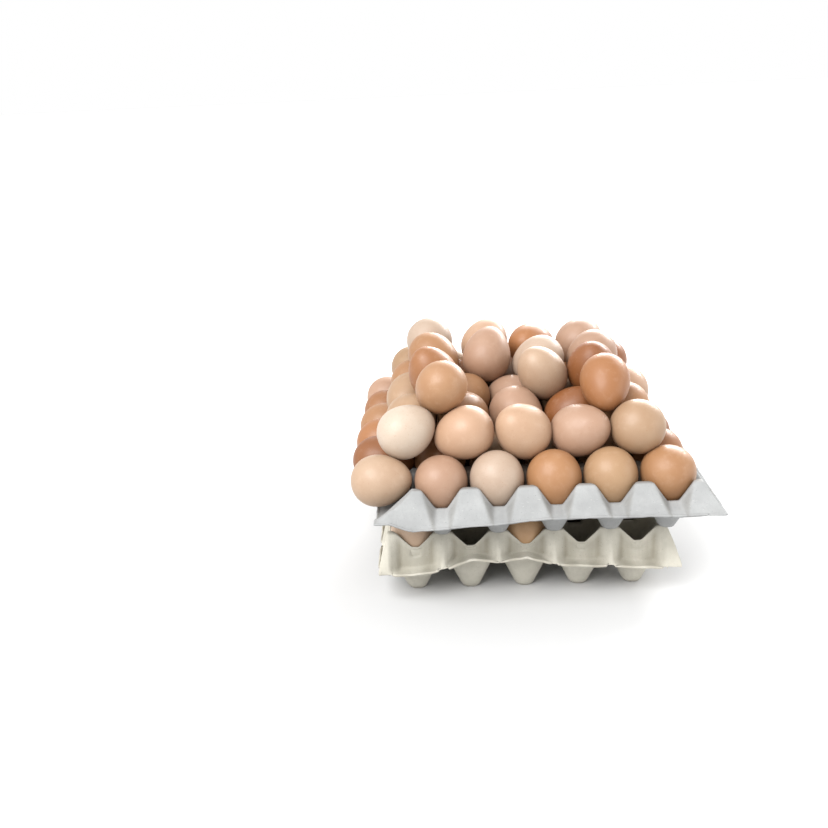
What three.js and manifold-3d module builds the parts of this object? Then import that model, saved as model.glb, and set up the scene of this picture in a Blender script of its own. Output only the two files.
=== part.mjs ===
// Two stacked moulded-pulp egg trays with a heap of brown hens' eggs three layers deep on the upper tray.
// Millimetres, +Z up, the front of the stack towards -Y, origin under the middle on the resting plane.
import * as THREE from "three";
import { mergeVertices } from "three/addons/utils/BufferGeometryUtils.js";
import Module from "manifold-3d";

const wasm = await Module();
wasm.setup();

// Driving dimensions
const PITCH = 48.5; // between cell centres, both ways
const COLUMNS = 5; // cells across the front
const ROWS = 6; // cells from front to back
const PULP = 2; // wall of a tray
const GAP = 0.3; // left between pieces that touch
const EGG_WIDTH = 45.6; // mean egg
const EGG_LENGTH = 55;
const EGG_BANDS = 6;
const SEED = 20;

const HALF = PITCH / 2;

// Each tray's heights are above the outside of its own cup bottoms.
const UPPER = {
  postTop: 49,
  saddle: 31,
  postHalf: 7.5,
  postCorner: 6.4,
  saddleStart: 17.5,
  frontSaddleStart: 18.5,
  frontSaddle: 32,
  bowlRadius: 18.5,
  bowlHeight: 27,
  bottomHalf: 5.6,
  skirtReach: 22,
  skirtDrop: 2.5,
  footHalf: 18,
  recess: 2.5,
  shelf: 0,
  leftSide: { reach: 32, footHalf: 6 }, // wider, with eggs lying on it
  rightSide: { reach: 15 },
};
const LOWER = {
  postTop: 63,
  saddle: 46,
  postHalf: 7.5,
  postCorner: 6.4,
  saddleStart: 17,
  frontSaddleStart: 20.2,
  frontSaddle: 49.5,
  bowlRadius: 18.5,
  bowlHeight: 28,
  bottomHalf: 6.5,
  skirtReach: 13,
  skirtDrop: 17,
  footHalf: 5,
  recess: 8,
  shelf: 2,
};
const LIP_ARCH = { middle: 96, halfWidth: 38, rise: 10 }; // where the lower tray's front edge bends up
const UPPER_BASE = LOWER.postTop + GAP; // the upper cups stand on the lower posts
const LOWER_SHIFT_X = -HALF; // the trays are half a cell apart
const LOWER_SHIFT_Y = HALF;

// The heap, heights above the resting plane
const LOWER_EGG_Z = 46;
const FIRST_Z = UPPER_BASE + 43.5;
const SECOND_Z = FIRST_Z + 37;
const THIRD_Z = SECOND_Z + 37;
const RIM_EGG_OUT = 26.5; // eggs lying on the left flange, centre beyond the outer posts
const RIM_LIFT = 2;
const SETTLE_STEPS = 240;
const SETTLE_FALL = 0.5;
const CORE = {
  west: -128,
  east: 44,
  south: -68,
  north: 68,
  low: UPPER_BASE + UPPER.postTop + 1,
  high: SECOND_Z - 8,
};
const NO_THIRD_EGG = ["1,1", "1,2", "2,1"]; // column and row of the gaps in the third layer
const LOWER_EGG_CELLS = [
  [0, 0],
  [2, 0],
  [4, 2],
  [4, 5],
  [1, 5],
  [0, 3],
];

// Colours from the shells and the two trays
const SHELLS = [0xc98f62, 0xd9a67c, 0xb9784c, 0xe3bf9f, 0xc99478, 0xcf9d68];
const UPPER_PULP = new THREE.MeshStandardMaterial({ color: 0xc9cbd0, roughness: 0.95, metalness: 0 });
const LOWER_PULP = new THREE.MeshStandardMaterial({ color: 0xbdbba9, roughness: 0.95, metalness: 0 });
const SHELL_MATERIALS = SHELLS.map(
  (color) => new THREE.MeshStandardMaterial({ color, roughness: 0.45, metalness: 0 }),
);

// A repeatable stream of numbers from 0 to 1
function seeded(seed) {
  let state = seed;
  return () => {
    state = (state * 16807) % 2147483647;
    return state / 2147483647;
  };
}

// A geometry as a closed solid, and back
function toSolid(geometry) {
  const bare = geometry.clone();
  bare.deleteAttribute("normal");
  bare.deleteAttribute("uv");
  const merged = mergeVertices(bare, 1e-3);
  return new wasm.Manifold(
    new wasm.Mesh({
      numProp: 3,
      vertProperties: merged.attributes.position.array,
      triVerts: new Uint32Array(merged.index.array),
    }),
  );
}

function toGeometry(solid) {
  const mesh = solid.getMesh();
  const geometry = new THREE.BufferGeometry();
  geometry.setAttribute("position", new THREE.BufferAttribute(mesh.vertProperties, 3));
  geometry.setIndex(new THREE.BufferAttribute(mesh.triVerts, 1));
  geometry.computeVertexNormals();
  return geometry;
}

// Tray: the upper surface as triangles, then a wall of even thickness under it
class Surface {
  constructor() {
    this.points = [];
    this.triangles = [];
    this.keys = new Map();
  }
  point(x, y, z) {
    const key = [x, y, z].map((v) => Math.round(v * 500)).join(",");
    if (!this.keys.has(key)) {
      this.keys.set(key, this.points.length);
      this.points.push(new THREE.Vector3(x, y, z));
    }
    return this.keys.get(key);
  }
  fan(loop) {
    for (let i = 1; i + 1 < loop.length; i++) this.triangles.push([loop[0], loop[i], loop[i + 1]]);
  }
}

// One cell of the waffle, centred on (x, y): half of each post round it, the saddles between, and the cup.
function addCell(surface, tray, x, y, borders) {
  const quarter = [];
  for (let q = 0; q < 4; q++) {
    const turn = (u, v, z) => {
      const [c, s] = [[1, 0], [0, 1], [-1, 0], [0, -1]][q];
      return surface.point(x + u * c - v * s, y + u * s + v * c, z);
    };
    // The side that this quarter ends on, east first and then anticlockwise
    const notch = borders[q] ? tray.frontSaddleStart : tray.saddleStart;
    const notchZ = borders[q] ? tray.frontSaddle : tray.saddle;
    const diagonal = tray.bowlRadius / Math.SQRT2;
    quarter.push({
      postBefore: turn(HALF - tray.postHalf, -HALF, tray.postTop),
      postCorner: turn(HALF - tray.postCorner, tray.postCorner - HALF, tray.postTop),
      postAfter: turn(HALF, tray.postHalf - HALF, tray.postTop),
      saddleFrom: turn(HALF, notch - HALF, notchZ),
      saddleTo: turn(HALF, HALF - notch, notchZ),
      bowlCorner: turn(diagonal, -diagonal, tray.bowlHeight),
      bowlSide: turn(tray.bowlRadius, 0, tray.bowlHeight),
      bottom: turn(tray.bottomHalf, -tray.bottomHalf, PULP),
      post: turn(HALF, -HALF, tray.postTop),
    });
  }
  quarter.forEach((now, q) => {
    const next = quarter[(q + 1) % 4];
    surface.fan([now.post, now.postAfter, now.postCorner, now.postBefore]);
    surface.fan([now.bowlCorner, now.postBefore, now.postCorner, now.postAfter]);
    surface.fan([now.bowlSide, now.bowlCorner, now.postAfter, now.saddleFrom]);
    surface.fan([now.bowlSide, now.saddleFrom, now.saddleTo]);
    surface.fan([now.bowlSide, now.saddleTo, next.postBefore, next.bowlCorner]);
    surface.fan([now.bottom, now.bowlCorner, now.bowlSide]);
    surface.fan([next.bottom, now.bowlSide, next.bowlCorner]);
    surface.fan([now.bottom, now.bowlSide, next.bottom]);
  });
  surface.fan(quarter.map((part) => part.bottom));
}

// The skirt along one side: from the border posts and saddles down and out to the lip.
// at(along, out, z) gives a point of it, along running anticlockwise round the tray.
function addSkirt(surface, tray, side, before, after, at, lipAt) {
  const { postHalf: a, postTop: top, frontSaddleStart: d, frontSaddle: low } = tray;
  const { cells, reach, footHalf: w } = side;
  const foot = (s) => at(s, reach, lipAt(s));
  for (let post = 0; post <= cells; post++) {
    const s = post * PITCH;
    const topLeft = () => [at(s - a, 0, top), foot(s - w)];
    const topRight = () => [foot(s + w), at(s + a, 0, top)];
    const left = post > 0 ? topLeft() : [foot(-before.reach)];
    const right = post < cells ? topRight() : [foot(s + after.reach)];
    surface.fan([at(s, 0, top), ...left, ...right]);
    if (post === cells) break;
    const next = s + PITCH;
    const from = at(s + d, 0, low);
    const to = at(next - d, 0, low);
    const footNext = foot(next - w);
    const inFrom = at(s + d + 1, reach - tray.recess, lipAt(s + d) + tray.shelf);
    const inTo = at(next - d - 1, reach - tray.recess, lipAt(next - d) + tray.shelf);
    surface.fan([right[1], right[0], inFrom, from]);
    surface.fan([from, inFrom, inTo, to]);
    surface.fan([to, inTo, footNext, at(next - a, 0, top)]);
    surface.fan([right[0], footNext, inTo, inFrom]);
  }
}

// A wall of even thickness under the surface, as one closed solid.
function shellOf(surface, thickness) {
  const { points, triangles } = surface;
  const normals = points.map(() => []);
  for (const [a, b, c] of triangles) {
    const ab = points[b].clone().sub(points[a]);
    const ac = points[c].clone().sub(points[a]);
    const normal = ab.cross(ac).normalize();
    [a, b, c].forEach((i) => {
      if (!normals[i].some((n) => n.dot(normal) > 0.999)) normals[i].push(normal);
    });
  }
  const under = points.map((p, i) => {
    const mean = normals[i].reduce((sum, n) => sum.add(n), new THREE.Vector3()).normalize();
    const facing = normals[i].reduce((sum, n) => sum + n.dot(mean), 0) / normals[i].length;
    return p.clone().addScaledVector(mean, -thickness / Math.max(facing, 0.7));
  });
  const count = points.length;
  const sides = new Map();
  for (const [a, b, c] of triangles) {
    for (const [from, to] of [[a, b], [b, c], [c, a]]) sides.set(from + "," + to, [from, to]);
  }
  const faces = [];
  for (const [a, b, c] of triangles) faces.push([a, b, c], [a + count, c + count, b + count]);
  for (const [from, to] of sides.values()) {
    if (sides.has(to + "," + from)) continue;
    faces.push([to, from, from + count], [to, from + count, to + count]);
  }
  const geometry = new THREE.BufferGeometry().setFromPoints([...points, ...under]);
  geometry.setIndex(faces.flat());
  return geometry;
}

// A whole tray, its outer post corner at the low x and low y end, its cups standing on z = base.
function trayGeometry(tray, x0, y0, base, lip) {
  const surface = new Surface();
  for (let row = 0; row < ROWS; row++) {
    for (let column = 0; column < COLUMNS; column++) {
      const borders = [column === COLUMNS - 1, row === ROWS - 1, column === 0, row === 0];
      addCell(surface, tray, (column + 0.5) * PITCH, (row + 0.5) * PITCH, borders);
    }
  }
  const [width, depth] = [COLUMNS * PITCH, ROWS * PITCH];
  const plain = { reach: tray.skirtReach, footHalf: tray.footHalf };
  const sides = [
    { ...plain, cells: COLUMNS, place: (s, out) => [s, -out] },
    { ...plain, ...tray.rightSide, cells: ROWS, place: (s, out) => [width + out, s] },
    { ...plain, cells: COLUMNS, place: (s, out) => [width - s, depth + out] },
    { ...plain, ...tray.leftSide, cells: ROWS, place: (s, out) => [-out, depth - s] },
  ];
  sides.forEach((side, i) => {
    const at = (s, out, z) => surface.point(...side.place(s, out), z);
    const lipAt = (s) => lip(...side.place(s, side.reach));
    addSkirt(surface, tray, side, sides[(i + 3) % 4], sides[(i + 1) % 4], at, lipAt);
  });
  const geometry = shellOf(surface, PULP);
  geometry.computeBoundingBox();
  geometry.translate(x0, y0, base - geometry.boundingBox.min.z);
  return geometry;
}

// The lip is wavy: pressed down at the front left of the upper tray, lifted between posts of the lower one.
function upperLip(x, y) {
  const left = THREE.MathUtils.clamp(1 - x / (2.5 * PITCH), 0, 1);
  const front = THREE.MathUtils.clamp(1 - y / (2 * PITCH), 0, 1);
  const wave = Math.cos(x / 41) + Math.sin(y / 37);
  if (x < 0) return UPPER.saddle - 6.5 - 3 * front + wave;
  return UPPER.saddle - UPPER.skirtDrop - 6 * left * front + wave;
}

function lowerLip(x, y) {
  const wave = 4 * Math.sin(x / 62 - 0.4) - 3 * Math.cos(y / 55);
  const arch = y < 0 ? LIP_ARCH.rise * Math.exp(-(((x - LIP_ARCH.middle) / LIP_ARCH.halfWidth) ** 2)) : 0;
  return LOWER.frontSaddle - LOWER.skirtDrop + wave + arch;
}

// An egg about the middle of its length, its pointed end up, with few sides
function eggGeometry(width, length, sides) {
  const outline = [];
  for (let i = 0; i <= EGG_BANDS; i++) {
    const turn = (Math.PI * i) / EGG_BANDS;
    const along = -Math.cos(turn);
    const radius = (width / 2) * Math.sin(turn) * (1 - 0.13 * along);
    outline.push(new THREE.Vector2(i % EGG_BANDS ? radius : 0, (along * length) / 2));
  }
  return new THREE.LatheGeometry(outline, sides).rotateX(Math.PI / 2);
}

// Radii of the balls that fill an egg, from its blunt end to its pointed end
const BALLS = [-0.27, -0.14, 0, 0.14, 0.28, 0.42];

function ballsOf(egg) {
  return BALLS.map((along) => {
    let nearest = Infinity;
    for (let step = 0; step <= 60; step++) {
      const s = -1 + step / 30;
      const radius = (egg.width / 2) * Math.sqrt(Math.max(0, 1 - s * s)) * (1 - 0.13 * s);
      nearest = Math.min(nearest, Math.hypot(radius, ((s - along) * egg.length) / 2));
    }
    return { offset: egg.axis.clone().multiplyScalar((along * egg.length) / 2), radius: nearest };
  });
}

// Lifts an egg in its cup or on the rim until it is clear of the tray's walls.
function seat(egg, tray) {
  const shape = eggSolid(egg);
  let lift = 0;
  while (tray.minGap(shape.translate([0, 0, lift]), 1) < GAP) lift += 0.25;
  egg.centre.z += lift;
}

// The heap: where every egg lies. Those in the cups and on the rim keep their place, the others settle.
function layHeap(lowerTray, upperTray) {
  const random = seeded(SEED);
  const spread = (size) => (2 * random() - 1) * size;
  const eggs = [];
  const add = (name, layer, x, y, z, lean, settles) => {
    const turn = 2 * Math.PI * random();
    const tilt = lean.from + (lean.to - lean.from) * random();
    const width = EGG_WIDTH + spread(1.6) + (lean.wider ?? 0);
    const length = EGG_LENGTH + spread(2.2);
    const axis = new THREE.Vector3(
      Math.sin(tilt) * Math.cos(turn),
      Math.sin(tilt) * Math.sin(turn),
      lean.pointDown ? -Math.cos(tilt) : Math.cos(tilt),
    );
    if (lean.axis) axis.set(...lean.axis).normalize();
    const sides = name === "core" ? 7 : 8;
    const egg = { name, layer, centre: new THREE.Vector3(x, y, z), axis, width, length, sides, settles };
    if (!settles) seat(egg, layer === "lower" ? lowerTray : upperTray);
    eggs.push(egg);
  };
  const cellX = (column) => (column + 0.5 - COLUMNS / 2) * PITCH;
  const cellY = (row) => (row + 0.5 - ROWS / 2) * PITCH;
  for (const [column, row] of LOWER_EGG_CELLS) {
    const x = cellX(column) + LOWER_SHIFT_X;
    const y = cellY(row) + LOWER_SHIFT_Y;
    const lean = { from: 0, to: 0.06, pointDown: true };
    add(`lower_egg_${column}_${row}`, "lower", x, y, LOWER_EGG_Z, lean, false);
  }
  for (let row = 0; row < ROWS; row++) {
    for (let column = 0; column < COLUMNS; column++) {
      const inside = row > 0 && row < ROWS - 1 && column < COLUMNS - 1;
      const name = inside ? "core" : `first_egg_${column}_${row}`;
      const lean = { from: 0, to: 0.12, pointDown: true };
      add(name, "first", cellX(column) + spread(0.5), cellY(row) + spread(0.5), FIRST_Z, lean, false);
    }
    const lying = { from: 0, to: 0, axis: [1, spread(0.25), 0.12 + spread(0.1)] };
    const rimX = cellX(0) - HALF - RIM_EGG_OUT;
    const rimName = row > 0 && row < ROWS - 1 ? "core" : `rim_egg_${row}`;
    add(rimName, "rim", rimX, cellY(row) + spread(1), FIRST_Z + RIM_LIFT, lying, false);
  }
  for (let row = 1; row < ROWS; row++) {
    for (let column = 0; column < COLUMNS; column++) {
      const inCore = row > 1 && row < ROWS - 1 && column < COLUMNS - 1;
      const name = inCore ? "core" : `second_egg_${column}_${row}`;
      const lean = { from: 0.8, to: 1.45, pointDown: random() < 0.5, wider: row === 1 ? 0.8 : 0 };
      add(name, "second", cellX(column) - HALF, cellY(row) - HALF, SECOND_Z, lean, true);
    }
  }
  for (let row = 1; row < ROWS - 1; row++) {
    for (let column = 0; column < COLUMNS - 1; column++) {
      if (NO_THIRD_EGG.includes(`${column},${row}`)) continue;
      const lean = { from: 0.4, to: 1.3, pointDown: random() < 0.5, wider: -0.6 };
      add(`third_egg_${column}_${row}`, "third", cellX(column), cellY(row), THIRD_Z, lean, true);
    }
  }
  settle(eggs);
  return eggs;
}

// Lowers the loose eggs a little at a time and pushes apart what meets, until each rests on the ones below.
function settle(eggs) {
  const balls = eggs.map(ballsOf);
  const between = new THREE.Vector3();
  for (let step = 0; step < SETTLE_STEPS; step++) {
    const fall = SETTLE_FALL * (1 - step / SETTLE_STEPS);
    for (const egg of eggs) if (egg.settles) egg.centre.z -= fall;
    for (let pass = 0; pass < 4; pass++) {
      for (let i = 0; i < eggs.length; i++) {
        for (let j = i + 1; j < eggs.length; j++) {
          const [a, b] = [eggs[i], eggs[j]];
          if (!(a.settles || b.settles) || a.centre.distanceTo(b.centre) > EGG_LENGTH + 5) continue;
          let deepest = 0;
          const push = new THREE.Vector3();
          for (const p of balls[i]) {
            for (const q of balls[j]) {
              between.copy(b.centre).add(q.offset).sub(a.centre).sub(p.offset);
              const apart = between.length();
              const overlap = p.radius + q.radius + GAP - apart;
              if (overlap > deepest) {
                deepest = overlap;
                push.copy(between).multiplyScalar(overlap / apart);
              }
            }
          }
          if (deepest === 0) continue;
          const share = a.settles && b.settles ? 0.5 : 1;
          if (a.settles) a.centre.addScaledVector(push, -share);
          if (b.settles) b.centre.addScaledVector(push, share);
        }
      }
    }
  }
}

function eggMesh(egg, material) {
  const mesh = new THREE.Mesh(eggGeometry(egg.width, egg.length, egg.sides), material);
  mesh.name = egg.name;
  mesh.position.copy(egg.centre);
  mesh.quaternion.setFromUnitVectors(new THREE.Vector3(0, 0, 1), egg.axis);
  mesh.updateMatrix();
  return mesh;
}

function eggSolid(egg) {
  const mesh = eggMesh(egg, SHELL_MATERIALS[0]);
  return toSolid(mesh.geometry.applyMatrix4(mesh.matrix));
}

// The eggs at the middle of the heap lie against each other round a small core, as one body.
function heapCore(eggs) {
  const { west, east, south, north, low, high } = CORE;
  const block = new THREE.BoxGeometry(east - west, north - south, high - low);
  block.translate((east + west) / 2, (north + south) / 2, (high + low) / 2);
  let solid = toSolid(block);
  for (const egg of eggs) solid = solid.add(eggSolid(egg));
  const mesh = new THREE.Mesh(toGeometry(solid), SHELL_MATERIALS[0]);
  mesh.name = "heap_core_eggs";
  return mesh;
}

function buildStack() {
  const stack = new THREE.Group();
  const [x0, y0] = [(-COLUMNS * PITCH) / 2, (-ROWS * PITCH) / 2];
  const lower = trayGeometry(LOWER, x0 + LOWER_SHIFT_X, y0 + LOWER_SHIFT_Y, 0, lowerLip);
  const upper = trayGeometry(UPPER, x0, y0, UPPER_BASE, upperLip);
  const lowerTray = new THREE.Mesh(lower, LOWER_PULP);
  lowerTray.name = "lower_tray";
  const upperTray = new THREE.Mesh(upper, UPPER_PULP);
  upperTray.name = "upper_tray";
  stack.add(lowerTray, upperTray);
  const eggs = layHeap(toSolid(lower), toSolid(upper));
  eggs.forEach((egg, i) => {
    if (egg.name !== "core") stack.add(eggMesh(egg, SHELL_MATERIALS[i % SHELLS.length]));
  });
  stack.add(heapCore(eggs.filter((egg) => egg.name === "core")));
  const box = new THREE.Box3().setFromObject(stack, true);
  const middle = box.getCenter(new THREE.Vector3());
  stack.position.set(-middle.x, -middle.y, 0);
  const object = new THREE.Group();
  object.add(stack);
  return object;
}

export default buildStack();
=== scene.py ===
"""Two moulded-pulp egg trays, half a cell apart, with brown hens' eggs heaped three layers deep.

Sizes are in millimetres and turned to metres where a mesh or an input takes them.
"""

import math
from types import SimpleNamespace

import bmesh
import bpy
import numpy as np
from mathutils import Matrix, Vector


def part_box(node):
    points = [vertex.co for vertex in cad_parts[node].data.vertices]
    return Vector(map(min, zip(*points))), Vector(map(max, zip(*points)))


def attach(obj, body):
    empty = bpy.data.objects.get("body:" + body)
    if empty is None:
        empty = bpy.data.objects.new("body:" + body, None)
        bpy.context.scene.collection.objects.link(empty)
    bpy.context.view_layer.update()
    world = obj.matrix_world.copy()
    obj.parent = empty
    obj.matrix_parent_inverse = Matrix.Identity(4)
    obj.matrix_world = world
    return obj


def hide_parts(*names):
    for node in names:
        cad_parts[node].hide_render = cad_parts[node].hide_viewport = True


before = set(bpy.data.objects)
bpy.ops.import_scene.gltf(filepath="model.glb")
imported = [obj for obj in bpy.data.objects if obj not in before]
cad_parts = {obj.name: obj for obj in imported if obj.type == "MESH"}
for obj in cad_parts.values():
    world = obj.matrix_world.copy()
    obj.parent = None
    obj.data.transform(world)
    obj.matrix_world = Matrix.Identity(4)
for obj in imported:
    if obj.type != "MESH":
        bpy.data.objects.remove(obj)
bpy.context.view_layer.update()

MM = 0.001

# The stack, as its solids have it
PITCH = 48.5
COLUMNS, ROWS = 5, 6
HALF = PITCH / 2
WIDTH, DEPTH = COLUMNS * PITCH, ROWS * PITCH
LOWER_BASE = 0.0
UPPER_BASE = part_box("upper_tray")[0].z / MM
PULP = 1.8

# Where each tray's front left outer post stands
FRONT_REACH, RIGHT_REACH = 22, 15
UPPER_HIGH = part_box("upper_tray")[1] / MM
UPPER_CORNER = Vector((UPPER_HIGH.x - RIGHT_REACH - WIDTH, UPPER_HIGH.y - FRONT_REACH - DEPTH, UPPER_BASE))
LOWER_CORNER = Vector((UPPER_CORNER.x - HALF, UPPER_CORNER.y + HALF, LOWER_BASE))


class Field:
    """A number in a node tree, so that its sums read as sums. A soft least or most is rounded over."""

    def __init__(self, tree, socket):
        self.tree, self.socket = tree, socket

    def math(self, operation, *others, clamp=False):
        node = self.tree.nodes.new("ShaderNodeMath")
        node.operation = operation
        node.use_clamp = clamp
        for slot, value in enumerate((self, *others)):
            if isinstance(value, Field):
                self.tree.links.new(value.socket, node.inputs[slot])
            else:
                node.inputs[slot].default_value = value
        return Field(self.tree, node.outputs[0])

    def __add__(self, other):
        return self.math("ADD", other)

    def __sub__(self, other):
        return self.math("SUBTRACT", other)

    def __mul__(self, other):
        return self.math("MULTIPLY", other)

    def __truediv__(self, other):
        return self.math("DIVIDE", other)

    def __neg__(self):
        return self.math("MULTIPLY", -1.0)

    def least(self, other, soft=0.0):
        return self.math("SMOOTH_MIN", other, soft) if soft else self.math("MINIMUM", other)

    def most(self, other, soft=0.0):
        return self.math("SMOOTH_MAX", other, soft) if soft else self.math("MAXIMUM", other)

    def power(self, other):
        return self.math("POWER", other)

    def clamped(self):
        return self.math("ADD", 0.0, clamp=True)

    def mixed(self, other, share):
        return self + (other - self) * share


def number(tree, value):
    """A fixed number as a field."""
    node = tree.nodes.new("ShaderNodeValue")
    node.outputs[0].default_value = value
    return Field(tree, node.outputs[0])


def new_node(tree, kind, **settings):
    """A node with its settings made."""
    node = tree.nodes.new(kind)
    for name, value in settings.items():
        setattr(node, name, value)
    return node


def geometry_tree(name, inputs):
    """A geometry tree with a geometry in and out and named number inputs."""
    tree = bpy.data.node_groups.new(name, "GeometryNodeTree")
    tree.interface.new_socket("Geometry", in_out="INPUT", socket_type="NodeSocketGeometry")
    for label, value in inputs.items():
        kind = "NodeSocketMaterial" if value is None else "NodeSocketFloat"
        socket = tree.interface.new_socket(label, in_out="INPUT", socket_type=kind)
        if value is not None:
            socket.default_value = value
    tree.interface.new_socket("Geometry", in_out="OUTPUT", socket_type="NodeSocketGeometry")
    source = tree.nodes.new("NodeGroupInput")
    result = tree.nodes.new("NodeGroupOutput")
    fields = {label: Field(tree, source.outputs[label]) for label in inputs}
    return tree, source, result, fields


def finish_tree(tree, source, result, shape):
    """Ends a tree with smooth shading and its material."""
    smooth = tree.nodes.new("GeometryNodeSetShadeSmooth")
    finish = tree.nodes.new("GeometryNodeSetMaterial")
    tree.links.new(shape, smooth.inputs[0])
    tree.links.new(smooth.outputs[0], finish.inputs[0])
    tree.links.new(source.outputs["Material"], finish.inputs["Material"])
    tree.links.new(finish.outputs[0], result.inputs[0])


def plain_piece(name, tree, values, mesh=None):
    """Runs a geometry tree on a mesh and keeps the result as a plain mesh of its own."""
    carrier = bpy.data.objects.new(name + "_carrier", mesh or bpy.data.meshes.new(name + "_seed"))
    bpy.context.scene.collection.objects.link(carrier)
    modifier = carrier.modifiers.new("shape", "NODES")
    modifier.node_group = tree
    for item in tree.interface.items_tree:
        if item.in_out == "INPUT" and item.name in values:
            modifier[item.identifier] = values[item.name]
    bpy.context.view_layer.update()
    evaluated = carrier.evaluated_get(bpy.context.evaluated_depsgraph_get())
    finished = bpy.data.meshes.new_from_object(evaluated)
    bpy.data.objects.remove(carrier)
    finished.name = name
    piece = bpy.data.objects.new(name, finished)
    bpy.context.scene.collection.objects.link(piece)
    return piece


def material(name):
    """A material with its tree, its main shader and the object's own coordinates."""
    made = bpy.data.materials.new(name)
    made.use_nodes = True
    tree = made.node_tree
    shader = tree.nodes["Principled BSDF"]
    place = new_node(tree, "ShaderNodeTexCoord").outputs["Object"]
    return made, tree, shader, place


def noise(tree, place, scale, detail=3.0, roughness=0.55, stretch=None):
    """Cloudy noise from 0 to 1, finer with a higher scale, its place multiplied by stretch first."""
    if stretch:
        mapping = new_node(tree, "ShaderNodeMapping")
        mapping.inputs["Scale"].default_value = stretch
        tree.links.new(place, mapping.inputs["Vector"])
        place = mapping.outputs["Vector"]
    node = new_node(tree, "ShaderNodeTexNoise")
    node.inputs["Scale"].default_value = scale
    node.inputs["Detail"].default_value = detail
    node.inputs["Roughness"].default_value = roughness
    tree.links.new(place, node.inputs["Vector"])
    return Field(tree, node.outputs["Fac"])


def band(field, low, high):
    """0 at low, 1 at high, held at both ends."""
    node = new_node(field.tree, "ShaderNodeMapRange")
    node.inputs["From Min"].default_value = low
    node.inputs["From Max"].default_value = high
    field.tree.links.new(field.socket, node.inputs["Value"])
    return Field(field.tree, node.outputs["Result"])


def blended(tree, share, first, second, how="MIX"):
    """The first colour at share 0 and the second, or the two multiplied, at share 1."""
    node = new_node(tree, "ShaderNodeMix", data_type="RGBA", blend_type=how)
    for socket, value in ((node.inputs[0], share), (node.inputs[6], first), (node.inputs[7], second)):
        if isinstance(value, Field):
            tree.links.new(value.socket, socket)
        elif isinstance(value, bpy.types.NodeSocket):
            tree.links.new(value, socket)
        else:
            socket.default_value = value
    return node.outputs[2]


def bump(tree, shader, height, depth, strength=1.0, after=None):
    """Fine relief, depth in millimetres, on top of another relief where one is given."""
    node = new_node(tree, "ShaderNodeBump")
    node.inputs["Strength"].default_value = strength
    node.inputs["Distance"].default_value = depth * MM
    tree.links.new(height.socket, node.inputs["Height"])
    if after:
        tree.links.new(after.outputs["Normal"], node.inputs["Normal"])
    tree.links.new(node.outputs["Normal"], shader.inputs["Normal"])
    return node


WHITE_FLECK = (0.80, 0.79, 0.76, 1)
# Painted shade in the sheet's folds
FOLD_SHADE_TINT = (0.66, 0.64, 0.60, 1)


def pulp_material(name, pale, shade, fleck, painted_inside_shade):
    """Moulded paper pulp: cloudy, with fibres, streaks and flecks, with painted shade in its folds and a
    browner painted shade inside the border.
    """
    made, tree, shader, place = material(name)
    clouds = band(noise(tree, place, 38.0, 4.0), 0.35, 0.68)
    colour = blended(tree, clouds, pale, shade)
    fibres = noise(tree, place, 620.0, 5.0, 0.7, stretch=(1.0, 0.45, 0.8))
    colour = blended(tree, band(fibres, 0.42, 0.75) * 0.35, colour, shade)
    streaks = noise(tree, place, 420.0, 3.0, 0.6, stretch=(1.0, 1.0, 0.07))
    colour = blended(tree, band(streaks, 0.48, 0.7) * 0.3, colour, shade)
    dark = band(noise(tree, place, 900.0, 2.0, 0.4), 0.69, 0.76)
    colour = blended(tree, dark * 0.5, colour, fleck)
    white = band(noise(tree, place, 520.0, 3.0, 0.6, stretch=(0.5, 1.0, 1.0)), 0.66, 0.74)
    colour = blended(tree, white * 0.16, colour, WHITE_FLECK)
    # Painted shade: darker in the folds, and browner inside the border where the eggs shade the sheet
    for mark, tint in (("fold", FOLD_SHADE_TINT), ("inside", painted_inside_shade)):
        share = new_node(tree, "ShaderNodeAttribute", attribute_name=mark).outputs["Fac"]
        colour = blended(tree, share, colour, blended(tree, 1.0, colour, tint, "MULTIPLY"))
    tree.links.new(colour, shader.inputs["Base Color"])
    shader.inputs["Roughness"].default_value = 0.93
    shader.inputs["Specular IOR Level"].default_value = 0.25
    lumps = bump(tree, shader, noise(tree, place, 190.0, 4.0, 0.6), 0.55, 0.55)
    bump(tree, shader, fibres, 0.22, 0.7, after=lumps)
    return made


SHELL_DEEP_TINT = (0.84, 0.76, 0.70, 1)
SHELL_BLOOM = (0.82, 0.66, 0.54, 1)
SHELL_SPECK = (0.30, 0.14, 0.07, 1)


def shell_material():
    """Eggshell: each egg's own colour, softly cloudy, with a bloom, fine specks and pores."""
    made, tree, shader, place = material("eggshell")
    own = new_node(tree, "ShaderNodeAttribute", attribute_name="shell").outputs["Color"]
    clouds = band(noise(tree, place, 55.0, 3.0), 0.3, 0.72)
    deep = blended(tree, 1.0, own, SHELL_DEEP_TINT, "MULTIPLY")
    colour = blended(tree, clouds * 0.5, own, deep)
    bloom = band(noise(tree, place, 130.0, 5.0, 0.65), 0.52, 0.78)
    colour = blended(tree, bloom * 0.07, colour, SHELL_BLOOM)
    specks = band(noise(tree, place, 760.0, 2.0, 0.5), 0.64, 0.72)
    colour = blended(tree, specks * 0.32, colour, SHELL_SPECK)
    tree.links.new(colour, shader.inputs["Base Color"])
    gloss = band(noise(tree, place, 90.0, 3.0), 0.3, 0.7)
    tree.links.new((gloss * 0.12 + 0.5).socket, shader.inputs["Roughness"])
    shader.inputs["Specular IOR Level"].default_value = 0.5
    shader.inputs["Coat Weight"].default_value = 0.12
    shader.inputs["Coat Roughness"].default_value = 0.24
    pores = noise(tree, place, 1500.0, 2.0, 0.5)
    bump(tree, shader, pores, 0.05, 0.5)
    return made


# Each pulp's last colour is the painted shade inside the tray's border, browner where the eggs shade the
# sheet
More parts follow.
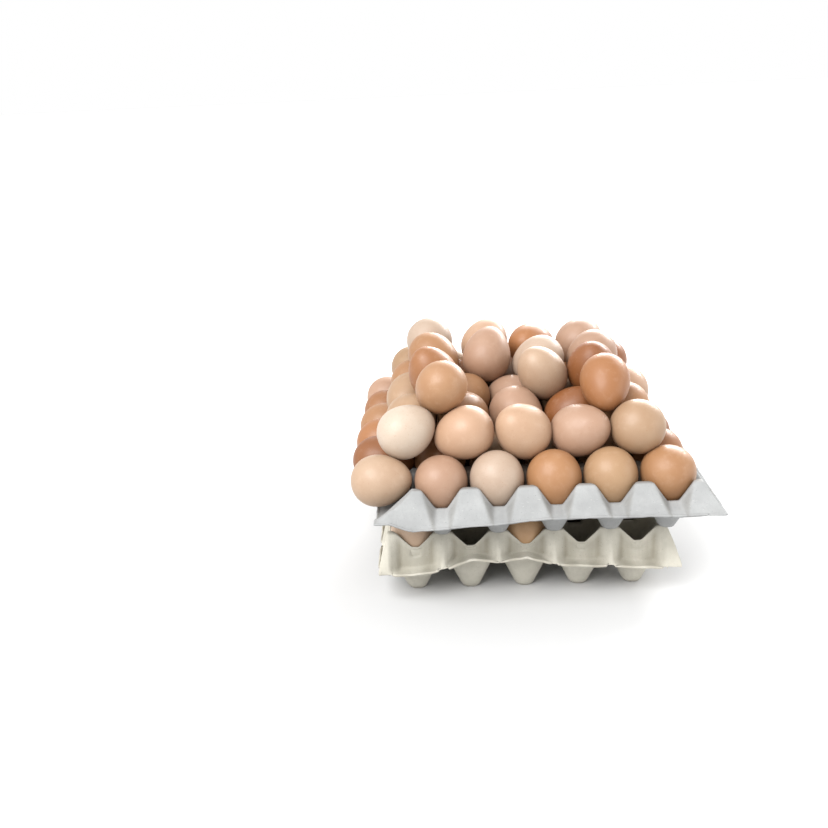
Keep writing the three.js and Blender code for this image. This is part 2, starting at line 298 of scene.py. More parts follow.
UPPER_PULP = pulp_material(
    "grey_pulp",
    pale=(0.338, 0.343, 0.341, 1),
    shade=(0.268, 0.272, 0.271, 1),
    fleck=(0.14, 0.14, 0.145, 1),
    painted_inside_shade=(0.42, 0.33, 0.26, 1),
)
LOWER_PULP = pulp_material(
    "beige_pulp",
    pale=(0.545, 0.52, 0.45, 1),
    shade=(0.42, 0.40, 0.34, 1),
    fleck=(0.17, 0.15, 0.125, 1),
    painted_inside_shade=(0.58, 0.545, 0.49, 1),
)
SHELL = shell_material()


# The upper tray's sizes in millimetres, apart from steps, shares and seed. Reach is out, and lip is up
TRAY_INPUTS = {
    "Cell Steps": 30.0,
    "Skirt Steps": 20.0,
    "Left Skirt Steps": 26.0,
    "Post Top": 49.0,
    "Post Half": 7.5,
    "Saddle": 31.0,
    "Saddle Start": 17.5,
    "Border Saddle": 32.0,
    "Border Saddle Start": 18.5,
    "Bowl Radius": 18.5,
    "Bowl Height": 27.0,
    "Bottom Half": 5.6,
    "Reach": 22.0,
    "Right Reach": 15.0,
    "Left Reach": 32.0,
    "Foot Half": 16.0,
    "Left Foot Half": 7.0,
    "Bulge": 1.0,
    "Panel": 0.0,
    "Panel Depth": 0.94,
    "Dimple": 0.0,
    "Lip": 28.5,
    "Left Lip": 24.5,
    "Lip Sag": 6.0,
    "Lip Wave": 1.0,
    "Lip Arch": 0.0,
    "Lip Scallop": 0.0,
    "Corner Lift": 9.0,
    "Curl": 2.0,
    "Seed": 3.0,
    "Material": None,
}


# Sizes that both trays share
CUP_ROUNDNESS = 2.4
CUP_KNEE = 6.0
NUB_RADIUS, NUB_HEIGHT = 3.2, 0.9
BORDER_BAND = 12.0
ARCH_MIDDLE, ARCH_HALF_WIDTH = 96.0, 38.0
CORNER_LIFT_X, CORNER_LIFT_Y = 20.0, 12.0
SIDE_TAKES_OVER = 4.0
PANEL_START, PANEL_FACE = 1.0, 9.5
DIMPLE_HALF, DIMPLE_SLOPE = 4.6, 1.2

# The lip's scalloped stretch in posts from the left, its sag in cells, its waves in millimetres a radian
SCALLOP_FIRST_POST, SCALLOP_LAST_POST = 1.0, 3.0
SAG_CELLS_X, SAG_CELLS_Y = 2.5, 2.0
WAVE_X, WAVE_Y = 62.0, 55.0

# Shares of the way down the skirt, from 0 at the border to 1 at the lip
PANEL_FOOT = 0.84
LEDGE_START, LEDGE_LENGTH = 0.82, 0.12
DIMPLE_TOP, DIMPLE_FOOT, DIMPLE_EDGE = 0.1, 0.42, 0.05
EDGE_START = 0.9


def noise_field(tree, place, scale, seed, detail=2.0):
    """Noise about 0, another for each seed."""
    node = new_node(tree, "ShaderNodeTexNoise", noise_dimensions="4D")
    node.inputs["Scale"].default_value = scale
    node.inputs["Detail"].default_value = detail
    tree.links.new(place, node.inputs["Vector"])
    tree.links.new(seed.socket, node.inputs["W"])
    return Field(tree, node.outputs["Fac"]) - 0.5


def vector(tree, x, y, z):
    """Three fields as one place."""
    node = new_node(tree, "ShaderNodeCombineXYZ")
    for slot, value in enumerate((x, y, z)):
        tree.links.new(value.socket, node.inputs[slot])
    return node.outputs[0]


def stretched_grid(tree, size):
    """A grid with even steps over the cells and finer ones over the skirts, and its tray coordinates."""
    grid = new_node(tree, "GeometryNodeMeshGrid")
    position = new_node(tree, "GeometryNodeInputPosition").outputs[0]
    parts = new_node(tree, "ShaderNodeSeparateXYZ")
    tree.links.new(position, parts.inputs[0])
    sides = (
        ("X", 0, COLUMNS, size["Left Skirt Steps"], size["Left Reach"], size["Right Reach"]),
        ("Y", 1, ROWS, size["Skirt Steps"], size["Reach"], size["Reach"]),
    )
    places = []
    for label, axis, cells, before, before_reach, after_reach in sides:
        inner = size["Cell Steps"] * float(cells)
        steps = before + inner + size["Skirt Steps"]
        tree.links.new((steps * MM).socket, grid.inputs["Size " + label])
        tree.links.new((steps + 1.0).socket, grid.inputs["Vertices " + label])
        along = Field(tree, parts.outputs[axis]) / MM + steps * 0.5 - before
        cell_part = along.most(0.0).least(inner) * PITCH / size["Cell Steps"]
        low_part = (-along).most(0.0) * before_reach / before
        high_part = (along - inner).most(0.0) * after_reach / size["Skirt Steps"]
        places.append(cell_part - low_part + high_part)
    return grid, *places


def from_posts(place, count):
    """How far a point lies from the nearest post, along one side of the tray."""
    nearest = (place / PITCH).math("ROUND").most(0.0).least(float(count))
    return (place - nearest * PITCH).math("ABSOLUTE")


def lip_line(tree, size, x, y, off_post, left):
    """The lip's height: it sags towards the front left, waves, and at the front arches and scallops up."""
    one = number(tree, 1.0)
    front = (one - y / (SAG_CELLS_Y * PITCH)).clamped()
    west = (one - x / (SAG_CELLS_X * PITCH)).clamped()
    lip = size["Lip"] - size["Lip Sag"] * front * west
    lip = lip.mixed(size["Left Lip"] - front * size["Lip Sag"] * 0.5, left)
    bend = (x / WAVE_X - 0.4).math("SINE") * 1.35 - (y / WAVE_Y).math("COSINE")
    lip = lip + bend * size["Lip Wave"]
    from_arch = (x - ARCH_MIDDLE) / ARCH_HALF_WIDTH
    arch = (-(from_arch * from_arch)).math("EXPONENT") * size["Lip Arch"]
    after_first = (x / PITCH - SCALLOP_FIRST_POST).clamped()
    before_last = (number(tree, SCALLOP_LAST_POST) - x / PITCH).clamped()
    scallop = (off_post / HALF).clamped() * (after_first * before_last * 12.0).clamped() * size["Lip Scallop"]
    lip = lip + (arch + scallop) * (-y / SIDE_TAKES_OVER).clamped()
    corner = (-x / CORNER_LIFT_X).clamped() * (-y / CORNER_LIFT_Y).clamped()
    return lip + corner * size["Corner Lift"]


def posts_and_saddles(tree, size, off_post, inward, fall, lip, left):
    """The sheet without cups: posts, wider towards the lip, and level saddles; and how far down a flank."""
    border = (number(tree, 1.0) - inward / BORDER_BAND).clamped()
    saddle = size["Saddle"].mixed(size["Border Saddle"], border)
    start = size["Saddle Start"].mixed(size["Border Saddle Start"], border)
    post_line = size["Post Top"].mixed(lip, fall)
    saddle_line = saddle.mixed(lip, fall)
    half = size["Post Half"].mixed(size["Foot Half"].mixed(size["Left Foot Half"], left), fall)
    flank = (off_post - half) / (start + 1.0 - half).most(0.8)
    body = post_line - flank * (post_line - saddle_line)
    return body.least(post_line - off_post * 0.05, 1.5).most(saddle_line, 1.7), flank.clamped()


def cup_line(tree, size, post_x, post_y):
    """A cup: a cone with a flat bottom and a nub, steeper above the knee where an egg rests on the posts."""
    cell_x = (number(tree, HALF) - post_x).most(0.01)
    cell_y = (number(tree, HALF) - post_y).most(0.01)
    radius = (cell_x.power(CUP_ROUNDNESS) + cell_y.power(CUP_ROUNDNESS)).power(1 / CUP_ROUNDNESS)
    wall = (size["Bowl Height"] - PULP) / (size["Bowl Radius"] - size["Bottom Half"])
    low_wall = (radius - size["Bottom Half"]) * wall + PULP
    knee_rise = (size["Post Top"] - size["Bowl Height"]) / CUP_KNEE
    high_wall = (radius - size["Bowl Radius"]) * knee_rise + size["Bowl Height"]
    rise = (low_wall.most(high_wall, 2.0) - PULP).most(0.0, 1.6)
    nub = (number(tree, 1.0) - radius / NUB_RADIUS).clamped() * NUB_HEIGHT
    return rise + PULP + nub


def skirt_spread(tree, size, off_post, down, middle):
    """How far out the skirt stands, by how far down: creased at the posts, hollow between, a ledge below."""
    one = number(tree, 1.0)
    crease = down.power(size["Bulge"])
    ledge = ((down - LEDGE_START) / LEDGE_LENGTH).clamped()
    panel = down * (one - size["Panel Depth"]) * (one - ledge) + ledge
    panel = panel.mixed(down, one - size["Panel"].clamped())
    stands_out = crease.mixed(panel, middle)
    off_middle = number(tree, HALF) - off_post
    dimple = ((number(tree, DIMPLE_HALF) - off_middle) / DIMPLE_SLOPE).clamped()
    dimple = dimple * ((down - DIMPLE_TOP) / DIMPLE_EDGE).clamped()
    dimple = dimple * ((number(tree, DIMPLE_FOOT) - down) / DIMPLE_EDGE).clamped()
    return (stands_out - dimple * size["Dimple"]) / down.most(0.001)


def fold_shade_share(tree, size, off_post, down, slope):
    """How deep in a fold a point of the skirt lies, which sets its painted shade: on a post's flank or in a
    panel's inner corner.
    """
    one = number(tree, 1.0)
    corner = (one - (off_post - PANEL_START - PANEL_FACE).math("ABSOLUTE") / 5.0).clamped() * size["Panel"]
    corner = corner * (down * 5.0).clamped() * (one - ((down - 0.7) / 0.2).clamped())
    return (slope * (one - slope) * 2.2 * (down * 4.0).clamped()).most(corner).clamped()


def tray_tree():
    """A waffle of cups, posts and saddles, with a skirt from its border down and out to a lip."""
    tree, source, result, size = geometry_tree("moulded_tray", TRAY_INPUTS)
    grid, x, y = stretched_grid(tree, size)

    # How far a point lies inside the border, beyond it, and from the nearest row and column of posts
    beyond_x = (-x).most(x - WIDTH)
    beyond_y = (-y).most(y - DEPTH)
    inward = (-beyond_x).least(-beyond_y)
    out_x = beyond_x.most(0.0)
    out_y = beyond_y.most(0.0)
    post_x = from_posts(x, COLUMNS)
    post_y = from_posts(y, ROWS)
    off_post = (post_x - out_x).most(post_y - out_y, 1.2)

    # 0 at the border and inside it, 1 at the lip, which a panel's foot reaches sooner
    left = (-x / SIDE_TAKES_OVER).clamped()
    side_reach = size["Right Reach"].mixed(size["Left Reach"], (-x).clamped())
    down = (out_x / side_reach).most(out_y / size["Reach"]).least(1.0)
    middle = ((off_post - PANEL_START) / PANEL_FACE).clamped() * size["Panel"]
    fall = down.mixed((down / PANEL_FOOT).least(1.0), middle)

    lip = lip_line(tree, size, x, y, off_post, left)
    body, slope = posts_and_saddles(tree, size, off_post, inward, fall, lip, left)
    height = body.least(cup_line(tree, size, post_x, post_y) + (out_x + out_y) * 40.0, 2.0)
    spread = skirt_spread(tree, size, off_post, down, middle)

    # The edge: curled up a little, thin and torn, and the whole sheet uneven
    edge = ((down - EDGE_START) * 10.0).clamped()
    height = height + edge * edge * size["Curl"]
    spot = vector(tree, x * MM, y * MM, height * MM)
    rough = noise_field(tree, spot, 160.0, size["Seed"], 3.0)
    lumps = noise_field(tree, spot, 34.0, size["Seed"], 2.0)
    sway = noise_field(tree, spot, 9.0, size["Seed"], 1.0)
    height = height + rough * 0.6 + lumps * 1.0 * (down * 2.0 + 0.2).clamped() + sway * 3.0 * down
    tear = (rough + lumps * 1.5 + 0.6).clamped() * edge * 1.6 - lumps * 1.6 * down
    places = []
    for place, length, out in ((x, WIDTH, out_x), (y, DEPTH, out_y)):
        beyond = (place - length).most(0.0) - (-place).most(0.0)
        torn = (place / length - 0.5).math("SIGN") * (out * 9.0).clamped() * tear
        places.append((place + (beyond * (spread - 1.0) - torn)) * MM)

    # Stored on the mesh for the pulp's painted shade, inside the border and in the folds, before its points
    # move
    sheet = grid.outputs["Mesh"]
    marks = {"inside": (inward / 9.0).clamped(), "fold": fold_shade_share(tree, size, off_post, down, slope)}
    for label, share in marks.items():
        mark = new_node(tree, "GeometryNodeStoreNamedAttribute", data_type="FLOAT", domain="POINT")
        mark.inputs["Name"].default_value = label
        tree.links.new(share.socket, mark.inputs["Value"])
        tree.links.new(sheet, mark.inputs["Geometry"])
        sheet = mark.outputs[0]
    move = new_node(tree, "GeometryNodeSetPosition")
    tree.links.new(sheet, move.inputs["Geometry"])
    tree.links.new(vector(tree, *places, height.most(PULP) * MM), move.inputs["Position"])
    finish_tree(tree, source, result, move.outputs[0])
    return tree


def build_tray(name, tree, corner, values, node):
    """A tray's sheet, given its thickness below, with its painted shade inside the border on its upper side
    alone.
    """
    piece = plain_piece(name, tree, {**TRAY_INPUTS, **values})
    upper_corners = len(piece.data.vertices)
    wall = piece.modifiers.new("pulp wall", "SOLIDIFY")
    wall.thickness = PULP * MM
    wall.offset = -1
    bpy.context.view_layer.update()
    evaluated = piece.evaluated_get(bpy.context.evaluated_depsgraph_get())
    solid = bpy.data.meshes.new_from_object(evaluated)
    piece.modifiers.clear()
    piece.data = solid
    solid.transform(Matrix.Translation(corner * MM))
    # The underside takes no painted shade inside the border
    for mark in solid.attributes["inside"].data[upper_corners:]:
        mark.value = 0.0
    for polygon in solid.polygons:
        polygon.use_smooth = True
    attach(piece, "root")
    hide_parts(node)


# Where the lower tray differs: deeper, with a steep skirt of hollow panels and a scalloped lip
LOWER_TRAY = {
    "Skirt Steps": 24.0,
    "Left Skirt Steps": 24.0,
    "Cell Steps": 29.0,
    "Post Top": 63.0,
    "Saddle": 46.0,
    "Saddle Start": 17.0,
    "Border Saddle": 49.5,
    "Border Saddle Start": 20.2,
    "Bowl Height": 28.0,
    "Bottom Half": 6.5,
    "Reach": 14.0,
    "Right Reach": 13.0,
    "Left Reach": 9.0,
    "Foot Half": 5.0,
    "Left Foot Half": 5.0,
    "Bulge": 0.8,
    "Panel": 1.0,
    "Dimple": 0.2,
    "Lip": 32.5,
    "Left Lip": 32.5,
    "Lip Sag": 0.0,
    "Lip Wave": 3.0,
    "Lip Arch": 5.0,
    "Lip Scallop": 6.0,
    "Corner Lift": 0.0,
    "Curl": 1.1,
    "Seed": 11.0,
}

moulded_tray = tray_tree()
build_tray("grey_pulp_tray", moulded_tray, UPPER_CORNER, {"Material": UPPER_PULP}, "upper_tray")
build_tray(
    "beige_pulp_tray",
    moulded_tray,
    LOWER_CORNER,
    {**LOWER_TRAY, "Material": LOWER_PULP},
    "lower_tray",
)


# The eggs' sizes, the gap kept between them, the heap's seed, and how its layers start and settle
EGG_WIDTH, EGG_LENGTH = 45.6, 55.0
WIDTH_SPREAD, LENGTH_SPREAD = 1.6, 2.2
TAPER = 0.13
EGG_FORMS = ("Pointed Taper", "Mean Taper", "Blunt Taper")
GAP = 0.3
SEED = 20
SETTLE_STEPS, SETTLE_FALL, SETTLE_ROUNDS = 240, 0.5, 4
MAY_MEET, TOO_FAR_TO_TOUCH = 2.2 * PITCH, EGG_LENGTH + 5
FIRST_Z = UPPER_BASE + 43.5
LAYER_RISE = 37
LOOSE_LAYERS = {"second": 1, "third": 2}
CORE = "heap_core_eggs"
NO_THIRD_EGG = {(1, 1), (1, 2), (2, 1)}
LOWER_EGG_CELLS = [(0, 0), (2, 0), (4, 2), (4, 5), (1, 5), (0, 3)]
MIDDLE = Vector((UPPER_CORNER.x + WIDTH / 2, UPPER_CORNER.y + DEPTH / 2, 0))
RIM_EGG_OUT = 26.5
FINISH_SEED = SEED + 7

# How far an egg strays from its cell, the least and most lean in radians, and how much wider some are
CUP_STRAY, RIM_STRAY = 0.5, 1
LOWER_LEAN, CUP_LEAN, SECOND_LEAN, THIRD_LEAN = (0, 0.06), (0, 0.12), (0.8, 1.45), (0.4, 1.3)
RIM_TURN, RIM_RISE, RIM_RISE_SPREAD = 0.25, 0.12, 0.1
POINT_DOWN_SHARE = 0.5
FRONT_SECOND_WIDER, THIRD_WIDER = 0.8, -0.6


def seeded(seed):
    """The stream of numbers from 0 to 1 that the solids' heap is laid with."""
    multiplier, modulus = 16807, 2147483647
    state = seed
    while True:
        state = state * multiplier % modulus
        yield state / modulus


def lay_heap():
    """Every egg's node, layer, cell, place, axis and size, in the order that the solids draw them."""
    stream = seeded(SEED)
    eggs = []

    def random():
        return next(stream)

    def spread(size):
        return (2 * random() - 1) * size

    def cell_x(column):
        return (column + 0.5 - COLUMNS / 2) * PITCH

    def cell_y(row):
        return (row + 0.5 - ROWS / 2) * PITCH

    def add(name, layer, cell, x, y, lean, point_down=False, wider=0.0, axis=None):
        turn = 2 * math.pi * random()
        tilt = lean[0] + (lean[1] - lean[0]) * random()
        width = EGG_WIDTH + spread(WIDTH_SPREAD) + wider
        length = EGG_LENGTH + spread(LENGTH_SPREAD)
        upright = -math.cos(tilt) if point_down else math.cos(tilt)
        leaning = Vector((math.sin(tilt) * math.cos(turn), math.sin(tilt) * math.sin(turn), upright))
        axis = Vector(axis).normalized() if axis else leaning
        centre = MIDDLE + Vector((x, y, 0))
        egg = SimpleNamespace(name=name, layer=layer, cell=cell, centre=centre, axis=axis)
        egg.width, egg.length, egg.start = width, length, (centre.x, centre.y)
        eggs.append(egg)

    for column, row in LOWER_EGG_CELLS:
        x, y = cell_x(column) - HALF, cell_y(row) + HALF
        add(f"lower_egg_{column}_{row}", "lower", (column, row), x, y, LOWER_LEAN, True)
    for row in range(ROWS):
        for column in range(COLUMNS):
            inside = 0 < row < ROWS - 1 and column < COLUMNS - 1
            name = CORE if inside else f"first_egg_{column}_{row}"
            x = cell_x(column) + spread(CUP_STRAY)
            y = cell_y(row) + spread(CUP_STRAY)
            add(name, "first", (column, row), x, y, CUP_LEAN, True)
        axis = (1, spread(RIM_TURN), RIM_RISE + spread(RIM_RISE_SPREAD))
        x = cell_x(0) - HALF - RIM_EGG_OUT
        y = cell_y(row) + spread(RIM_STRAY)
        name = CORE if 0 < row < ROWS - 1 else f"rim_egg_{row}"
        add(name, "rim", (-1, row), x, y, (0, 0), axis=axis)
    for row in range(1, ROWS):
        for column in range(COLUMNS):
            inside = 1 < row < ROWS - 1 and column < COLUMNS - 1
            name = CORE if inside else f"second_egg_{column}_{row}"
            down = random() < POINT_DOWN_SHARE
            x, y = cell_x(column) - HALF, cell_y(row) - HALF
            wider = FRONT_SECOND_WIDER if row == 1 else 0.0
            add(name, "second", (column, row), x, y, SECOND_LEAN, down, wider)
    for row in range(1, ROWS - 1):
        for column in range(COLUMNS - 1):
            if (column, row) in NO_THIRD_EGG:
                continue
            down = random() < POINT_DOWN_SHARE
            x, y = cell_x(column), cell_y(row)
            name = f"third_egg_{column}_{row}"
            add(name, "third", (column, row), x, y, THIRD_LEAN, down, THIRD_WIDER)
    return eggs


def place_by_solid(egg):
    """Puts an egg where its solid is: the solid's two ends are its corners that are furthest apart."""
    corners = np.array([v.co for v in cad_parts[egg.name].data.vertices]) / MM
    apart = np.linalg.norm(corners[:, None] - corners[None], axis=2)
    first, second = np.unravel_index(apart.argmax(), apart.shape)
    egg.centre = Vector((corners[first] + corners[second]) / 2)


# Where the balls that fill an egg lie, in half lengths, and how finely its outline is followed
BALL_PLACES = (-0.27, -0.14, 0, 0.14, 0.28, 0.42)
OUTLINE_STEPS = 60


def filling_balls(egg):
    """Balls that fill the egg, from its blunt end to its pointed end."""
    balls = []
    for along in BALL_PLACES:
        nearest = math.inf
        for step in range(OUTLINE_STEPS + 1):
            s = -1 + 2 * step / OUTLINE_STEPS
            radius = egg.width / 2 * math.sqrt(max(0, 1 - s * s)) * (1 - TAPER * s)
            nearest = min(nearest, math.hypot(radius, (s - along) * egg.length / 2))
        balls.append((egg.axis * (along * egg.length / 2), nearest))
    return balls


def settle(eggs):
    """Lowers the loose eggs a little at a time and pushes apart what meets, as the solids were settled."""
    for egg in eggs:
        offsets, radii = zip(*filling_balls(egg))
        egg.offsets, egg.radii = np.array(offsets), np.array(radii)
        egg.middle = np.array(egg.centre)
    pairs = []
    for i, a in enumerate(eggs):
        for b in eggs[i + 1:]:
            if (a.loose or b.loose) and np.linalg.norm(a.middle - b.middle) < MAY_MEET:
                touching = a.radii[:, None] + b.radii[None, :] + GAP
                apart = b.offsets[None, :, :] - a.offsets[:, None, :]
                pairs.append((a, b, touching, apart))
    for step in range(SETTLE_STEPS):
        for egg in eggs:
            if egg.loose:
                egg.middle[2] -= SETTLE_FALL * (1 - step / SETTLE_STEPS)
        for _ in range(SETTLE_ROUNDS):
            for a, b, touching, apart in pairs:
                between = b.middle - a.middle
                if between @ between > TOO_FAR_TO_TOUCH ** 2:
                    continue
                gaps = apart + between
                lengths = np.sqrt((gaps * gaps).sum(axis=2))
                overlap = touching - lengths
                deepest = overlap.argmax()
                amount = overlap.flat[deepest]
                if amount <= 0:
                    continue
                push = gaps.reshape(-1, 3)[deepest] * (amount / lengths.flat[deepest])
                share = 0.5 if a.loose and b.loose else 1
                if a.loose:
                    a.middle -= push * share
                if b.loose:
                    b.middle += push * share
    for egg in eggs:
        egg.centre = Vector(egg.middle)


EGG_INPUTS = {
    "Segments": 44.0,
    "Rings": 30.0,
    "Blunt Taper": 0.10,
    "Mean Taper": 0.13,
    "Pointed Taper": 0.165,
    "Material": None,
}


def egg_tree():
    """Eggs of three forms on points that carry each egg's axis, half width, half length and form."""
    tree, source, result, size = geometry_tree("hens_eggs", EGG_INPUTS)
    forms = new_node(tree, "GeometryNodeJoinGeometry")
    for label in EGG_FORMS:
        ball = new_node(tree, "GeometryNodeMeshUVSphere")
        ball.inputs["Radius"].default_value = 1.0
        tree.links.new(size["Segments"].socket, ball.inputs["Segments"])
        tree.links.new(size["Rings"].socket, ball.inputs["Rings"])
        parts = new_node(tree, "ShaderNodeSeparateXYZ")
        tree.links.new(new_node(tree, "GeometryNodeInputPosition").outputs[0], parts.inputs[0])
        x, y, z = (Field(tree, socket) for socket in parts.outputs)
        narrow = number(tree, 1.0) - size[label] * z
        place = new_node(tree, "ShaderNodeCombineXYZ")
        for slot, value in enumerate((x * narrow, y * narrow, z)):
            tree.links.new(value.socket, place.inputs[slot])
        shape = new_node(tree, "GeometryNodeSetPosition")
        tree.links.new(ball.outputs["Mesh"], shape.inputs["Geometry"])
        tree.links.new(place.outputs[0], shape.inputs["Position"])
        form = new_node(tree, "GeometryNodeGeometryToInstance")
        tree.links.new(shape.outputs[0], form.inputs[0])
        tree.links.new(form.outputs[0], forms.inputs[0])

    def carried(name, kind):
        node = new_node(tree, "GeometryNodeInputNamedAttribute", data_type=kind)
        node.inputs["Name"].default_value = name
        return next(s for s in node.outputs if s.enabled and s.name == "Attribute")

    turned = new_node(tree, "FunctionNodeAlignRotationToVector", axis="Z")
    tree.links.new(carried("axis", "FLOAT_VECTOR"), turned.inputs["Vector"])
    lay = new_node(tree, "GeometryNodeInstanceOnPoints")
    tree.links.new(source.outputs["Geometry"], lay.inputs["Points"])
    tree.links.new(forms.outputs[0], lay.inputs["Instance"])
    lay.inputs["Pick Instance"].default_value = True
    tree.links.new(carried("form", "INT"), lay.inputs["Instance Index"])
    tree.links.new(turned.outputs[0], lay.inputs["Rotation"])
    tree.links.new(carried("half_size", "FLOAT_VECTOR"), lay.inputs["Scale"])
    real = new_node(tree, "GeometryNodeRealizeInstances")
    tree.links.new(lay.outputs[0], real.inputs[0])
    finish_tree(tree, source, result, real.outputs[0])
    return tree


# Shell colours as they look in soft daylight, sRGB, how bright that light is, and the sheen it adds
DAYLIGHT = 2.08
SHEEN = 0.05
LEAST_BRIGHT, BRIGHT_SPREAD, WARMTH_SPREAD = 0.93, 0.14, 0.03
CREAM = (255, 236, 216)
PALE_ROSE = (237, 212, 190)
PALE_PEACH = (242, 209, 179)
PALE_TAN = (250, 209, 175)
# Painted light: shells for eggs in shade, painted lighter than their own colour to make up for the shade
PEACH_PAINTED_LIGHTER = (255, 222, 192)
GOLDEN_PAINTED_LIGHTER = (255, 208, 160)
PEACH = (238, 198, 167)
ROSE = (224, 184, 157)
SAND = (222, 186, 152)
TAN = (218, 180, 142)
GOLDEN = (221, 173, 133)
ORANGE_TAN = (214, 163, 121)
RUST = (205, 147, 104)
BROWN = (180, 122, 84)
SHELLS = [CREAM, PALE_ROSE, PEACH, PEACH, ROSE, ROSE, SAND, TAN, TAN, GOLDEN, ORANGE_TAN, RUST, BROWN]
INNER_SHELLS = SHELLS[5:]
SEEN_SHELLS = {
    ("rim", -1, 0): PALE_PEACH,
    ("first", 0, 0): ROSE,
    ("first", 1, 0): PALE_ROSE,
    ("first", 2, 0): ORANGE_TAN,
    ("first", 3, 0): TAN,
    ("first", 4, 0): ORANGE_TAN,
    ("first", 4, 1): RUST,
    ("second", 0, 1): CREAM,
    ("second", 1, 1): PEACH,
    ("second", 2, 1): PALE_TAN,
    ("second", 3, 1): ROSE,
    ("second", 4, 1): SAND,
    ("second", 1, 2): ORANGE_TAN,
    ("third", 0, 1): GOLDEN,
    ("third", 3, 1): RUST,
    ("third", 1, 3): ROSE,
    ("third", 0, 2): RUST,
    ("third", 2, 2): PALE_PEACH,
    ("third", 3, 2): BROWN,
    # The two eggs in the lower tray's notches, painted lighter against the upper tray's shade
    ("lower", 0, 0): PEACH_PAINTED_LIGHTER,
    ("lower", 2, 0): GOLDEN_PAINTED_LIGHTER,
}


def linear(colour):
    """An sRGB colour as shares of linear light."""
    share = [c / 255 for c in colour]
    return [c / 12.92 if c < 0.04045 else ((c + 0.055) / 1.055) ** 2.4 for c in share]


def shell_colour(egg, stream):
    """The colour of an egg that the photo shows, or one drawn from the range, a little varied."""
    pick, light, warmth = next(stream), next(stream), next(stream)
    shells = INNER_SHELLS if egg.inner else SHELLS
    base = SEEN_SHELLS.get((egg.layer, *egg.cell), shells[int(pick * len(shells))])
    r, g, b = ((share - SHEEN) / DAYLIGHT for share in linear(base))
    bright = LEAST_BRIGHT + BRIGHT_SPREAD * light
    lean = WARMTH_SPREAD * (warmth - 0.5)
    return (r * bright * (1 + lean), g * bright, b * bright * (1 - lean), 1.0)


def half_size(egg):
    """An egg's scale, from a ball of radius 1."""
    return Vector((egg.width, egg.width, egg.length)) / 2 * MM


def build_eggs(name, eggs, tree):
    """One piece of the scene from the eggs given, in place of their solids."""
    points = bpy.data.meshes.new(name + "_places")
    points.from_pydata([egg.centre * MM for egg in eggs], [], [])
    carried = {
        "axis": ("FLOAT_VECTOR", "vector", [egg.axis for egg in eggs]),
        "half_size": ("FLOAT_VECTOR", "vector", [half_size(egg) for egg in eggs]),
        "form": ("INT", "value", [egg.form for egg in eggs]),
        "shell": ("FLOAT_COLOR", "color", [egg.colour for egg in eggs]),
    }
    for label, (kind, field, values) in carried.items():
        attribute = points.attributes.new(label, kind, "POINT")
        for entry, value in zip(attribute.data, values):
            setattr(entry, field, value)
    piece = plain_piece(name, tree, {"Material": SHELL}, points)
    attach(piece, "root")
    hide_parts(*sorted({egg.name for egg in eggs}))


def mean_height(eggs, layer):
    heights = [egg.centre.z for egg in eggs if egg.layer == layer and not egg.inner]
    return sum(heights) / len(heights)


def settled_heap():
    """The heap as its solids lie: inner eggs settle among the others, which are set on their own solids."""
    eggs = lay_heap()
    for egg in eggs:
        egg.inner = egg.name == CORE
        egg.loose = egg.layer in LOOSE_LAYERS
        if not egg.inner:
            place_by_solid(egg)
    for egg in eggs:
        if egg.loose:
            egg.centre.x, egg.centre.y = egg.start
            egg.centre.z = FIRST_Z + LOOSE_LAYERS[egg.layer] * LAYER_RISE
        elif egg.inner:
            egg.centre.z = mean_height(eggs, egg.layer)
    settle(eggs)
    for egg in eggs:
        if not egg.inner:
            place_by_solid(egg)
    return eggs


heap = settled_heap()
finish_stream = seeded(FINISH_SEED)
for egg in heap:
    egg.form = int(next(finish_stream) * len(EGG_FORMS))
    egg.colour = shell_colour(egg, finish_stream)

# Each piece's name, its slot, its layers, and whether it holds the inner eggs or the others
EGG_PIECES = [
    ("lower_tray_eggs", "shell_peach", ("lower",), False),
    ("cup_eggs", "shell_tan", ("first", "rim"), False),
    ("middle_eggs", "shell_rose", ("first", "rim", "second"), True),
    ("second_layer_eggs", "shell_golden", ("second",), False),
    ("top_layer_eggs", "shell_brown", ("third",), False),
]
hens_eggs = egg_tree()
for name, slot, layers, inner in EGG_PIECES:
    build_eggs(name, [egg for egg in heap if egg.layer in layers and egg.inner == inner], hens_eggs)


FLOOR_HALF = 60.0
FLOOR_GREY = 0.545


def build_floor():
    """A pale floor, wide enough to look endless."""
    mesh = bpy.data.meshes.new("floor")
    shape = bmesh.new()
    bmesh.ops.create_grid(shape, x_segments=1, y_segments=1, size=FLOOR_HALF)
    shape.to_mesh(mesh)
    floor = bpy.data.objects.new("floor", mesh)
    bpy.context.scene.collection.objects.link(floor)
    paint = bpy.data.materials.new("pale_floor")
    paint.use_nodes = True
    shader = paint.node_tree.nodes["Principled BSDF"]
    shader.inputs["Base Color"].default_value = (FLOOR_GREY, FLOOR_GREY, FLOOR_GREY, 1)
    shader.inputs["Roughness"].default_value = 0.9
    shader.inputs["Specular IOR Level"].default_value = 0.1
    mesh.materials.append(paint)


def add_area_light(name, place, target, size, power, colour=(1, 1, 1)):
    """A rectangular lamp at a place in metres, turned to its target."""
    light = bpy.data.lights.new(name, "AREA")
    light.shape = "RECTANGLE"
    light.size, light.size_y = size
    light.energy = power
    light.color = colour
    lamp = bpy.data.objects.new(name, light)
    lamp.location = place
    lamp.rotation_euler = (Vector(target) - Vector(place)).to_track_quat("-Z", "Y").to_euler()
    bpy.context.scene.collection.objects.link(lamp)


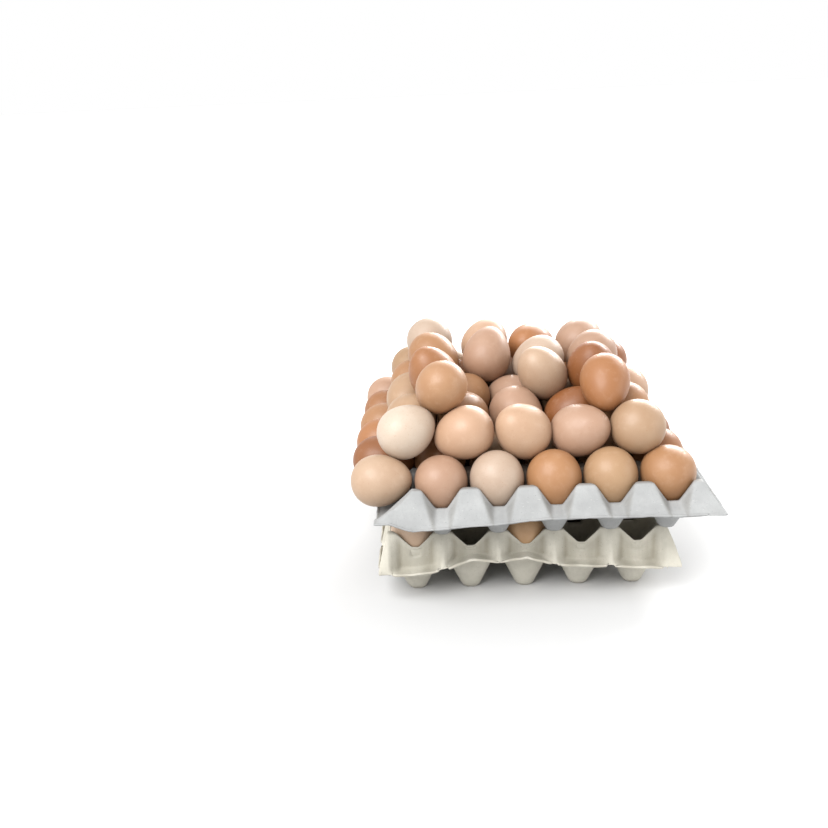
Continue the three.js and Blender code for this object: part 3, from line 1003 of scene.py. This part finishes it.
KEY_DIRECTION = Vector((0.75, 0.9, -1.2))
KEY_ENERGY, KEY_ANGLE = 4.3, 44
WHITE = (1.0, 1.0, 1.0, 1)


def set_light():
    """White surroundings, a broad key light from the front left, a rim light behind and a weak one right."""
    world = bpy.data.worlds.new("studio")
    bpy.context.scene.world = world
    world.use_nodes = True
    background = world.node_tree.nodes["Background"]
    background.inputs["Color"].default_value = WHITE
    background.inputs["Strength"].default_value = 1.0
    key = bpy.data.lights.new("key", "SUN")
    key.energy = KEY_ENERGY
    key.angle = math.radians(KEY_ANGLE)
    lamp = bpy.data.objects.new("key", key)
    lamp.rotation_euler = KEY_DIRECTION.to_track_quat("-Z", "Y").to_euler()
    bpy.context.scene.collection.objects.link(lamp)
    add_area_light("back", (0.8, 1.6, 0.95), (0, 0, 0.15), (1.8, 0.25), 80.0)
    add_area_light("side", (1.9, -0.5, 0.55), (0, 0, 0.05), (0.8, 0.8), 8.0, (1.0, 0.98, 0.95))


# The photo's camera: its place in millimetres, its turns in degrees and its lens in pixels
CAMERA_PLACE = Vector((-73.4, -927.9, 431.2)) * MM
CAMERA_YAW, CAMERA_PITCH, CAMERA_ROLL = 1.73, 17.94, -2.58
FOCAL_PIXELS, PICTURE_PIXELS = 1000, 828
SENSOR = 36.0


def set_camera():
    """A camera that stands and looks as the photo's did."""
    lens = bpy.data.cameras.new("camera")
    lens.sensor_width = SENSOR
    lens.lens = SENSOR * FOCAL_PIXELS / PICTURE_PIXELS
    camera = bpy.data.objects.new("camera", lens)
    turn = Matrix.Rotation(math.radians(CAMERA_YAW), 4, "Z")
    nod = Matrix.Rotation(math.radians(90 - CAMERA_PITCH), 4, "X")
    roll = Matrix.Rotation(math.radians(CAMERA_ROLL), 4, "Z")
    camera.matrix_world = Matrix.Translation(CAMERA_PLACE) @ turn @ nod @ roll
    bpy.context.scene.collection.objects.link(camera)
    bpy.context.scene.camera = camera


build_floor()
set_light()
set_camera()
bpy.context.scene.view_settings.view_transform = "Standard"
